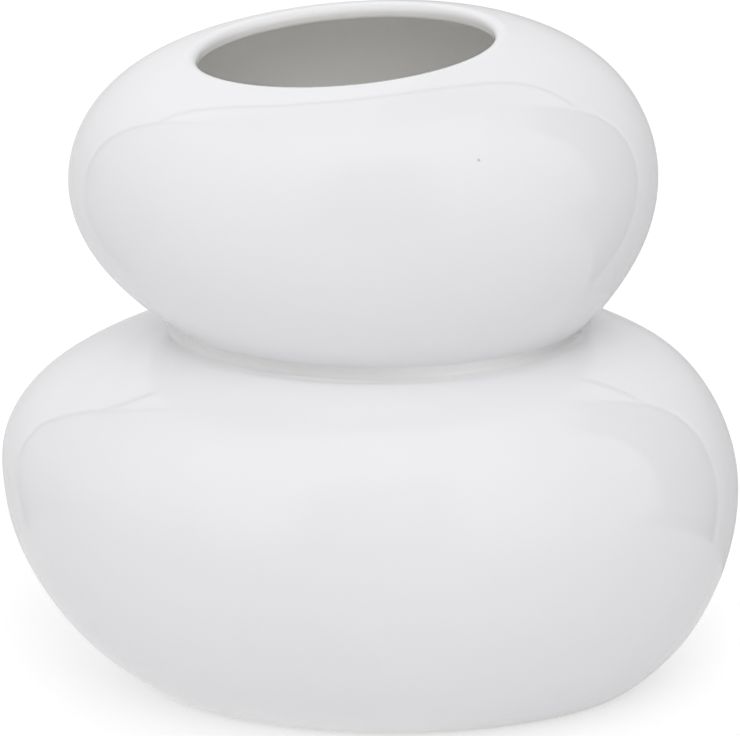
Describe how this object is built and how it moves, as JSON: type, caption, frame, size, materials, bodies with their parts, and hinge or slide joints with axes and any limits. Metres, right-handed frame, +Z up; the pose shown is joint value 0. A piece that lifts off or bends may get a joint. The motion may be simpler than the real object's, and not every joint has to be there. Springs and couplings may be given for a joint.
{
  "type": "vase",
  "caption": "White glazed ceramic vase of stacked, hollow pebble forms with a slanted oval mouth, a creased waist and a flat foot ring; holds stems and water.",
  "frame": {"origin": "on the table under the foot ring, at the middle of the widest part of the lower pebble", "axes": "+Z up; +X to the right across the front, the widest way; +Y from the front to the back"},
  "size_m": [0.241, 0.1996, 0.2186],
  "materials": {
    "white_glaze": "high-gloss white glaze",
    "slip_bead": "slip under the same white glaze"
  },
  "bodies": {
    "root": {"lower_pebble": "white_glaze", "luting_ring": "slip_bead", "upper_pebble": "white_glaze"}
  },
  "joints": []
}
